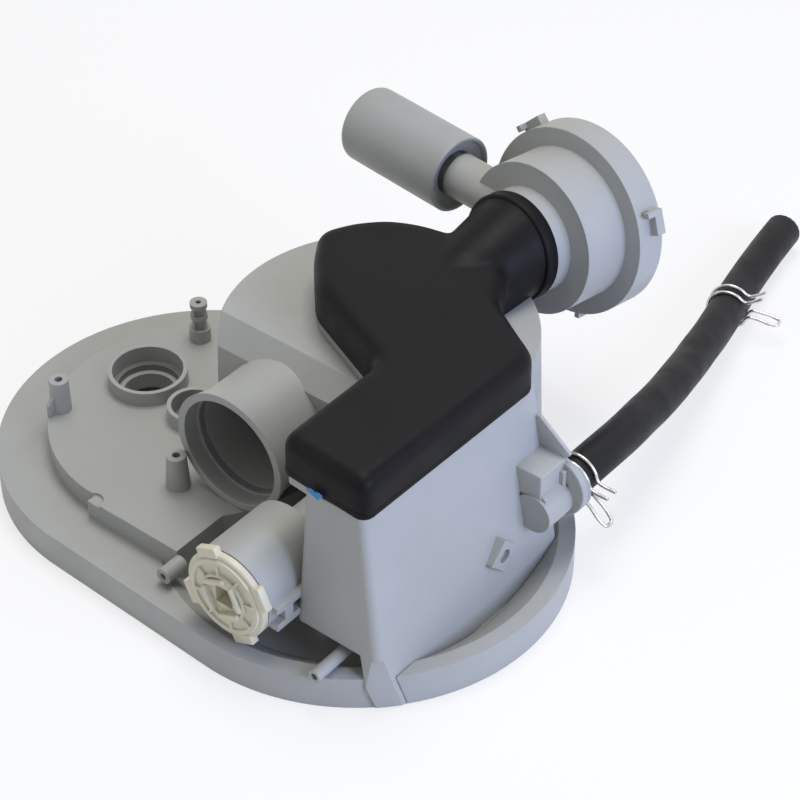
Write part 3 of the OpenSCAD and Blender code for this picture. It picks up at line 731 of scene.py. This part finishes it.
@dataclass
class DrainHose:
    """The rubber drain hose and its two spring clamps. Lengths are in millimetres."""

    shop: FinishShop
    diameter: float = 22.0
    wall: float = 3.0
    length: float = 325.0
    facets: int = 8
    steps_between: int = 10
    wire: float = 2.0
    gap: float = 0.3
    pitch: float = 7.0
    ear: float = 12.0
    tail: float = 19.0
    turn: float = 320.0
    loop_from: float = 12.0  # the angle in degrees at which a clamp's wire lies on its loop
    loop_knots: int = 20
    bend: tuple[float, float] = (1.2, 3.0)  # how far out the wire turns off, and at what angle
    bend_root: float = 4.0
    tail_bends: tuple[tuple[float, float], ...] = ((3.0, 1.0), (0.6, 0.7))  # before the tip
    near_at: tuple[float, float, float] = (113.0, 23.5, 52.0)
    far_point: int = 11
    far_turn: float = 15.3
    far_roll: float = 34.0
    route: tuple[tuple[float, float, float], ...] = (
        (113, 18, 52), (113, 40, 52), (110, 76.5, 47.3), (107, 95, 43.9), (104, 113, 40),
        (100, 131.5, 35.9), (95.5, 149.5, 31.8), (91, 167.5, 27.9), (86, 186, 24.3),
        (81.5, 204, 21.1), (76.5, 222, 18.4), (71.5, 240.5, 16.2), (66.5, 258.5, 14.4),
        (62, 277, 13), (58, 295.5, 12), (54.5, 314, 11.4), (51.5, 333, 11.2))

    def curve(self, name: str, points: list[Vector], radius: float, caps: bool) -> bpy.types.Object:
        """Lays a round curve through points.

        Args:
            name: The piece's name.
            points: The points in millimetres.
            radius: The radius in millimetres.
            caps: Whether its ends are closed.

        Returns:
            The curve's object.
        """
        data = bpy.data.curves.new(name, "CURVE")
        data.dimensions = "3D"
        data.bevel_depth = radius * MM
        data.bevel_resolution = self.facets
        data.resolution_u = self.steps_between
        data.use_fill_caps = caps
        spline = data.splines.new("BEZIER")
        spline.bezier_points.add(len(points) - 1)
        for knot, point in zip(spline.bezier_points, points):
            knot.co = Vector(point) * MM
            knot.handle_left_type = "AUTO"
            knot.handle_right_type = "AUTO"
        piece = bpy.data.objects.new(name, data)
        bpy.context.scene.collection.objects.link(piece)
        return piece

    def off_loop(self, beyond: float, angle: float, z: float) -> Vector:
        """Gives a point of a clamp by its way out from the loop, its angle and its height.

        Args:
            beyond: How far outside the loop it is.
            angle: Its angle in degrees.
            z: Its height.

        Returns:
            The point, in the clamp's own frame.
        """
        r = self.diameter / 2 + self.wire / 2 + self.gap + beyond
        a = math.radians(angle)
        return Vector((r * math.cos(a), r * math.sin(a), z))

    def half_clamp(self, z: float) -> list[Vector]:
        """Gives one loop with its ear and its side of the tail.

        Args:
            z: The loop's height.

        Returns:
            The points from the ear to the tail.
        """
        out, ease = self.bend
        sweep = self.turn - 2 * self.loop_from
        start = [self.off_loop(self.ear, 0, z), self.off_loop(self.bend_root, 0, z),
                 self.off_loop(out, ease, z)]
        loop = [self.off_loop(0, self.loop_from + sweep * i / self.loop_knots, z)
                for i in range(self.loop_knots + 1)]
        end = [self.off_loop(out, self.turn - ease, z), self.off_loop(self.bend_root, self.turn, z)]
        tail = [self.off_loop(self.tail - short, self.turn, share * z)
                for short, share in self.tail_bends]
        return start + loop + end + tail

    def wire_points(self) -> list[Vector]:
        """Gives the route of one spring clamp's wire.

        Returns:
            The points, in the clamp's own frame.
        """
        tip = [self.off_loop(self.tail, self.turn, 0)]
        return self.half_clamp(self.pitch / 2) + tip + self.half_clamp(-self.pitch / 2)[::-1]

    def clamp(self, node: str, place: Matrix) -> bpy.types.Object:
        """Makes one clamp of a single bent wire.

        Args:
            node: The node that it stands for.
            place: The matrix from the clamp's frame to the sump's, in millimetres.

        Returns:
            The clamp.
        """
        points = [place @ p for p in self.wire_points()]
        piece = self.curve(node + "_wire", points, self.wire / 2, True)
        self.shop.dress(piece, Finish.WIRE)
        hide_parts(node)
        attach(piece, Body.SUMP.value)
        return piece

    def build(self) -> list[bpy.types.Object]:
        """Builds the hose and its clamps.

        Returns:
            The three pieces.
        """
        points = [Vector(p) for p in self.route]
        hose = self.curve("drain_hose_rubber", points, self.diameter / 2, False)
        skin = hose.modifiers.new("wall", "SOLIDIFY")
        skin.thickness = self.wall * MM
        skin.offset = -1
        self.shop.dress(hose, Finish.HOSE)
        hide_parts("drain_hose")
        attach(hose, Body.SUMP.value)
        near = self.clamp("near_hose_clamp", facing_front(self.near_at))
        lie = (Matrix.Rotation(math.radians(self.far_turn), 4, "Z")
               @ Matrix.Rotation(math.radians(90), 4, "X")
               @ Matrix.Rotation(math.radians(self.far_roll), 4, "Z"))
        far = self.clamp("far_hose_clamp", Matrix.Translation(self.route[self.far_point]) @ lie)
        return [hose, near, far]


@dataclass
class SuctionCover:
    """The black cover of the suction duct with its elbow to the pump. Lengths are in millimetres."""

    shop: FinishShop
    flange_z: float = 117.0
    flange_t: float = 4.0
    flange_edge: float = 0.8
    top_z: float = 141.0
    sunk: float = 0.5  # the raised part starts this far above the flange's underside
    lip: float = 6.0  # meant to show round the raised part, but without effect: see plate()
    corner: float = 6.5
    fillet: float = 8.0
    throat: tuple[float, float] = (19.0, 36.0)
    throat_r: float = 25.0
    elbow_r: float = 28.0
    elbow_steps: int = 12
    elbow_short: float = 3.0  # the last ball of the elbow stops this far before its end
    sleeve_from: float = -8.0
    collar_r: float = 30.8
    collar_from: float = -6.0
    collar_to: float = 2.5
    collar_edge: float = 1.2
    collar_ease: tuple[float, float] = (0.4, 0.3)
    collar_depth: float = 2.0
    core_in: tuple[float, float] = (0.9, 0.5)  # how far the collar's core stays inside it
    pump_at: tuple[float, float, float] = PUMP_AT
    pump_along: tuple[float, float, float] = PUMP_ALONG
    neck_depth: float = 41.0
    voxel: float = 0.0013
    smoothing: float = 0.5
    smoothing_rounds: int = 20
    outline: tuple[tuple[float, float], ...] = (
        (40, -125), (97, -129), (99, 4), (76, 17), (56, 29), (44, 53), (22, 61), (0, 61), (-18, 57),
        (-34, 49), (-47, 35), (-56, 17), (-45, 0), (-25, -22), (40, -50))

    def plate(self, blank: Blank, inset: float, low: float, high: float) -> list[bmesh.types.BMFace]:
        """Extrudes the outline, inset by some way, from one height to another.

        Args:
            blank: The mesh that gets it.
            inset: How far inside the outline it is meant to be.
            low: Its lower height.
            high: Its upper height.

        Returns:
            The top face, alone in a list. Its edges are those of the rim.
        """
        bm = blank.bm
        face = bm.faces.new([bm.verts.new((x, y, low)) for x, y in self.outline])
        if inset:
            # A new face has no normal, so this moves nothing and the raised part ends flush with
            # the flange. A face.normal_update() before it would leave the lip free.
            rim = bmesh.ops.inset_region(bm, faces=[face], thickness=inset, use_even_offset=True,
                                         use_boundary=True)
            bmesh.ops.delete(bm, geom=rim["faces"], context="FACES")
        base = list(face.verts)
        made = bmesh.ops.extrude_face_region(bm, geom=[face], use_keep_orig=True)
        top = [item for item in made["geom"] if isinstance(item, bmesh.types.BMVert)]
        bmesh.ops.translate(bm, vec=(0, 0, high - low), verts=top)
        walls = [e for v in base for e in v.link_edges
                 if abs(e.verts[0].co.z - e.verts[1].co.z) > (high - low) / 2]
        blank.break_edges(walls, self.corner, segments=4)
        return [f for f in bm.faces
                if len(f.verts) > 4 and all(abs(v.co.z - high) < 1e-4 for v in f.verts)]

    def flange(self) -> bpy.types.Object:
        """Makes the flat flange under the raised part.

        Returns:
            The flange.
        """
        blank = Blank()
        top = self.plate(blank, 0, self.flange_z, self.flange_z + self.flange_t)
        blank.break_edges(list({e for f in top for e in f.edges}), self.flange_edge, segments=2)
        return blank.finish("suction_cover_flange", sharp=30)

    def dome(self) -> bpy.types.Object:
        """Makes the raised part with its elbow, as one smooth skin.

        Returns:
            The raised part.
        """
        blank = Blank()
        top = self.plate(blank, self.lip, self.flange_z + self.sunk, self.top_z)
        blank.break_edges(list({e for f in top for e in f.edges}), self.fillet, segments=7)
        self.elbow(blank)
        piece = blank.finish("suction_cover_dome", sharp=60)
        skin = piece.modifiers.new("skin", "REMESH")
        skin.mode = "VOXEL"
        skin.voxel_size = self.voxel
        skin.use_smooth_shade = True
        ease = piece.modifiers.new("ease", "SMOOTH")
        ease.factor = self.smoothing
        ease.iterations = self.smoothing_rounds
        return settle(piece)

    def neck(self) -> tuple[Vector, Vector, Matrix]:
        """Finds the elbow's end.

        Returns:
            Where it is, which way it points, and its turn.
        """
        along = Vector(self.pump_along)
        end = Vector(self.pump_at) - along * self.neck_depth
        return end, along, along.to_track_quat("Z", "Y").to_matrix().to_4x4()

    def collar(self) -> bpy.types.Object:
        """Makes the round collar that grips the pump's neck.

        Returns:
            The collar.
        """
        blank = Blank()
        end, _, turn = self.neck()
        r, low, high, edge = self.collar_r, self.collar_from, self.collar_to, self.collar_edge
        inner = self.elbow_r - self.collar_depth
        out, up = self.collar_ease
        blank.lathe([(inner, low), (r - edge, low), (r - out, low + up), (r, low + edge),
                     (r, high - edge), (r - out, high - up), (r - edge, high), (inner, high)],
                    steps=128)
        blank.place(Matrix.Translation(end) @ turn)
        return blank.finish("elbow_collar", sharp=50)

    def elbow(self, blank: Blank) -> None:
        """Adds the round elbow from the duct to the pump's neck, and the core of its collar.

        Args:
            blank: The mesh that gets it.
        """
        end, along, turn = self.neck()
        start = Vector((*self.throat, self.top_z - self.throat_r))
        for step in range(self.elbow_steps + 1):
            share = step / self.elbow_steps
            radius = self.throat_r + (self.elbow_r - self.throat_r) * share
            place = Matrix.Translation(start.lerp(end - along * self.elbow_short, share)) @ turn
            bmesh.ops.create_uvsphere(blank.bm, u_segments=40, v_segments=24, radius=radius,
                                      matrix=place)
        under, back = self.core_in
        for radius, near, far in (
                (self.elbow_r, self.sleeve_from, 0),
                (self.collar_r - under, self.collar_from + back, self.collar_to - back)):
            place = Matrix.Translation(end + along * (near + far) / 2) @ turn
            bmesh.ops.create_cone(blank.bm, cap_ends=True, segments=64, radius1=radius, radius2=radius,
                                  depth=far - near, matrix=place)

    def build(self) -> list[bpy.types.Object]:
        """Builds the cover.

        Returns:
            Its three pieces.
        """
        pieces = [self.flange(), self.dome(), self.collar()]
        for piece in pieces:
            self.shop.dress(piece, Finish.COVER)
            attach(piece, Body.SUMP.value)
        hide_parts("suction_cover")
        return pieces


@dataclass
class OutletSleeve:
    """The soft sleeve on the pump's outlet. Lengths are in millimetres."""

    shop: FinishShop
    radius: float = 22.5
    length: float = 75.0
    bore: float = 17.5
    inner: float = 13.0
    seat: float = 28.0
    edge: float = 4.2
    pump_at: tuple[float, float, float] = PUMP_AT
    offset: tuple[float, float, float] = (63.0, 7.0, -20.0)
    along: tuple[float, float, float] = (-0.99255, 0.12187, 0.0)
    upward: tuple[float, float, float] = (0.01274, 0.10375, 0.99452)
    away: tuple[float, float, float] = PUMP_ALONG

    def frame_of(self) -> Matrix:
        """Finds the sleeve's frame, with Z along its axis.

        Returns:
            The matrix from the sleeve's own frame to the sump's.
        """
        x, y, z = Vector(self.along), Vector(self.upward), Vector(self.away)
        at = Vector(self.pump_at) + x * self.offset[0] + y * self.offset[1] + z * self.offset[2]
        return Matrix.Translation(at) @ Matrix((-z, y, x)).transposed().to_4x4()

    def build(self) -> list[bpy.types.Object]:
        """Builds the sleeve.

        Returns:
            The sleeve, alone in a list.
        """
        r, e, n = self.radius, self.edge, self.length
        turns = [math.pi / 2 * i / 8 for i in range(9)]
        far = [(r - e + e * math.cos(a), n - e + e * math.sin(a)) for a in turns]
        near = [(self.inner, 0), (self.inner, 4.5), (15.5, 4.5), (19.6, 2.8), (20.4, 0.4),
                (20.8, 0), (r - 0.6, 0), (r, 0.6)]
        far_bore = [(self.bore + 0.6, n), (self.bore, n - 0.8), (self.bore, self.seat),
                    (self.inner, self.seat)]
        blank = Blank()
        blank.lathe(near + far + far_bore, steps=112)
        blank.place(self.frame_of())
        sleeve = blank.finish("outlet_sleeve_rubber", sharp=40)
        self.shop.dress(sleeve, Finish.SHADE)
        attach(sleeve, Body.SUMP.value)
        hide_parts("outlet_sleeve")
        return [sleeve]


@dataclass
class ValveCap:
    """The cream cap of the rotary valve. Lengths are in millimetres."""

    shop: FinishShop
    at: tuple[float, float, float] = (29.0, -157.0, 49.5)
    radius: float = 25.5
    barrel: float = 22.42
    seal_r: float = 20.0
    bore: float = 9.08
    ribs_at: tuple[float, ...] = (12.0, 57.0, 102.0, 147.0, 192.0, 237.0, 282.0, 327.0)
    tabs_at: tuple[float, ...] = (25.0, 115.0, 205.0, 295.0)

    def disc(self, blank: Blank) -> None:
        """Spins the cap's stepped disc with its raised rings.

        Args:
            blank: The mesh that gets it.
        """
        r = self.radius
        profile = [
            (self.bore, -5.0), (self.bore, 1.2), (12.6, 1.2), (12.6, 2.4), (14.0, 2.4), (14.2, 0.5),
            (19.4, 0.4), (19.8, 1.5), (22.4, 1.5), (22.8, 0.3), (r - 0.7, 0.1), (r, -0.6), (r, -3.4),
            (r - 0.5, -4.0), (self.barrel, -4.0), (self.barrel, -7.0), (self.seal_r, -7.0),
            (self.seal_r, -9.0), (self.bore + 3.6, -9.0), (self.bore + 3.6, -5.0)]
        blank.lathe(profile, steps=120)

    def ribs(self, blank: Blank) -> None:
        """Adds the ribs, the square hub walls and the grip tabs.

        Args:
            blank: The mesh that gets them.
        """
        r = self.radius
        for angles, low, high, edge, segments in (
                (self.ribs_at, (13.6, -0.7, 0.2), (20.2, 0.7, 1.9), 0.25, 2),
                (self.tabs_at, (8.8, -7.2, 0.8), (11.4, 7.2, 4.2), 0.5, 2),
                (self.tabs_at, (r - 3, -6.9, -3.9), (r + 2.9, 6.9, 0.9), 0.7, 3)):
            for angle in angles:
                block = blank.block(low, high, edge, segments)
                blank.place(Matrix.Rotation(math.radians(angle), 4, "Z"), block)

    def build(self) -> list[bpy.types.Object]:
        """Builds the cap.

        Returns:
            The cap, alone in a list.
        """
        blank = Blank()
        self.disc(blank)
        self.ribs(blank)
        blank.place(facing_front(self.at))
        cap = blank.finish("valve_cap_moulding")
        self.shop.dress(cap, Finish.CREAM)
        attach(cap, Body.CAP.value)
        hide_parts("valve_cap")
        return [cap]


@dataclass
class SmallMouldings:
    """Small moulded details on the base, the chamber and the cover. Lengths are in millimetres."""

    shop: FinishShop
    post_at: tuple[float, float] = (-154.0, -91.0)
    post_r: float = 5.5
    fin_z: tuple[float, float] = (32.0, 50.0)
    fin_half: float = 0.9
    fin_reach: float = 4.5
    fin_slope: float = 9.0
    drain_at: tuple[float, float, float] = (113.0, 14.0, 52.0)
    web_tilt: float = 38.0
    dab_at: tuple[float, float, float] = (66.0, -129.2, 119.0)
    drops: tuple[tuple[float, float, float], ...] = (
        (-2.6, 0.6, 2.2), (0, -0.4, 2.4), (2.4, 0.8, 2.0), (1.2, -1.6, 1.5))
    drop_shape: tuple[float, float, float] = (1.25, 0.12, 0.7)

    def fin(self) -> bpy.types.Object:
        """Makes the thin fin at the left screw post, sloping away from it.

        Returns:
            The fin.
        """
        blank = Blank()
        x, y = self.post_at
        low, high = self.fin_z
        out = y - self.post_r
        fin = blank.block((x - self.fin_half, out - self.fin_reach, low),
                          (x + self.fin_half, y, high), edge=0.4, segments=2)
        for vert in fin:
            if vert.co.y < out - 1 and vert.co.z > (low + high) / 2:
                vert.co.z = high - self.fin_slope
        return blank.finish("post_fin")

    def bracket(self) -> bpy.types.Object:
        """Makes the angular bracket that holds the drain spigot to the chamber.

        Returns:
            The bracket, with a ring round the spigot and a web on it.
        """
        blank = Blank()
        blank.block((-21, -27, 9.4), (4.5, -6, 26), edge=0.9, segments=3)
        blank.block((-22, -29, -9), (-9.4, -8, 11), edge=1.2, segments=4)
        ring = blank.lathe([(9.6, -2.2), (18.4, -2.2), (19, -1.6), (19, 1.6), (18.4, 2.2),
                            (9.6, 2.2)], steps=64)
        blank.place(facing_front((-1, -5.5, 6)), ring)
        web = blank.block((-13, -1.2, -2), (13, 1.2, 12), edge=0.6, segments=2)
        tilt = Matrix.Rotation(math.radians(self.web_tilt), 4, "Y")
        blank.place(Matrix.Translation((-10, -5.5, 28)) @ tilt, web)
        blank.place(Matrix.Translation(self.drain_at))
        return blank.finish("drain_bracket")

    def dab(self) -> bpy.types.Object:
        """Makes the small dab of blue marking paint on the cover's corner.

        Returns:
            The dab.
        """
        blank = Blank()
        for dx, dz, size in self.drops:
            drop = bmesh.ops.create_icosphere(blank.bm, subdivisions=3, radius=size)
            bmesh.ops.scale(blank.bm, vec=self.drop_shape, verts=drop["verts"])
            bmesh.ops.translate(blank.bm, vec=(dx, 0, dz), verts=drop["verts"])
        blank.place(Matrix.Translation(self.dab_at))
        return blank.finish("paint_dab", sharp=60)

    def build(self) -> list[bpy.types.Object]:
        """Builds the details.

        Returns:
            The pieces.
        """
        pieces = []
        for make, finish in ((self.fin, Finish.BODY), (self.bracket, Finish.BODY),
                             (self.dab, Finish.PAINT)):
            piece = make()
            self.shop.dress(piece, finish)
            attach(piece, Body.SUMP.value)
            pieces.append(piece)
        return pieces


@dataclass
class PlainMouldings:
    """The parts whose solids are right as they are: they get clean edges and their finish."""

    shop: FinishShop
    finishes: dict[str, Finish] = field(default_factory=lambda: {
        "sump_base": Finish.BODY, "well_housing": Finish.BODY, "pump_volute": Finish.BODY,
        "ribbed_stud": Finish.BODY, "drain_spigot": Finish.SHADE, "wear_ring": Finish.SHADE,
        "flap_seat": Finish.SHADE, "flap_pin": Finish.WIRE, "non_return_flap": Finish.HOSE,
        "valve_rotor": Finish.CREAM, "tub_gasket": Finish.HOSE, "large_port_seal": Finish.SEAL,
        "small_port_seal": Finish.SEAL, "inlet_stub_seal": Finish.SEAL, "cover_gasket": Finish.HOSE,
        "elbow_seal": Finish.SEAL, "motor_seal": Finish.SEAL, "valve_cap_seal": Finish.HOSE,
        "rotor_seal": Finish.HOSE})
    sharp: float = 28.0
    weld: float = 0.00001

    def build(self) -> list[bpy.types.Object]:
        """Dresses every such part.

        Returns:
            The pieces, each with merged corners so that round walls shade round.
        """
        pieces = []
        for node, finish in self.finishes.items():
            source = frame["nodes"][node]
            bm = bmesh.new()
            bm.from_mesh(source.data)
            bmesh.ops.remove_doubles(bm, verts=list(bm.verts), dist=self.weld)
            piece = object_of(bm, node + "_moulding", self.sharp)
            self.shop.dress(piece, finish)
            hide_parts(node)
            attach(piece, source["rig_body"])
            pieces.append(piece)
        return pieces


def main() -> None:
    """Builds the studio and every piece, and reports each."""
    logging.basicConfig(level=logging.INFO, format="%(message)s")
    Studio().build()
    shop = FinishShop()
    for maker in (DrainHose, SuctionCover, OutletSleeve, ValveCap, SmallMouldings, PlainMouldings):
        for piece in maker(shop).build():
            LOG.info("%s made by %s", piece.name, maker.__name__)


if __name__ == "__main__":
    main()
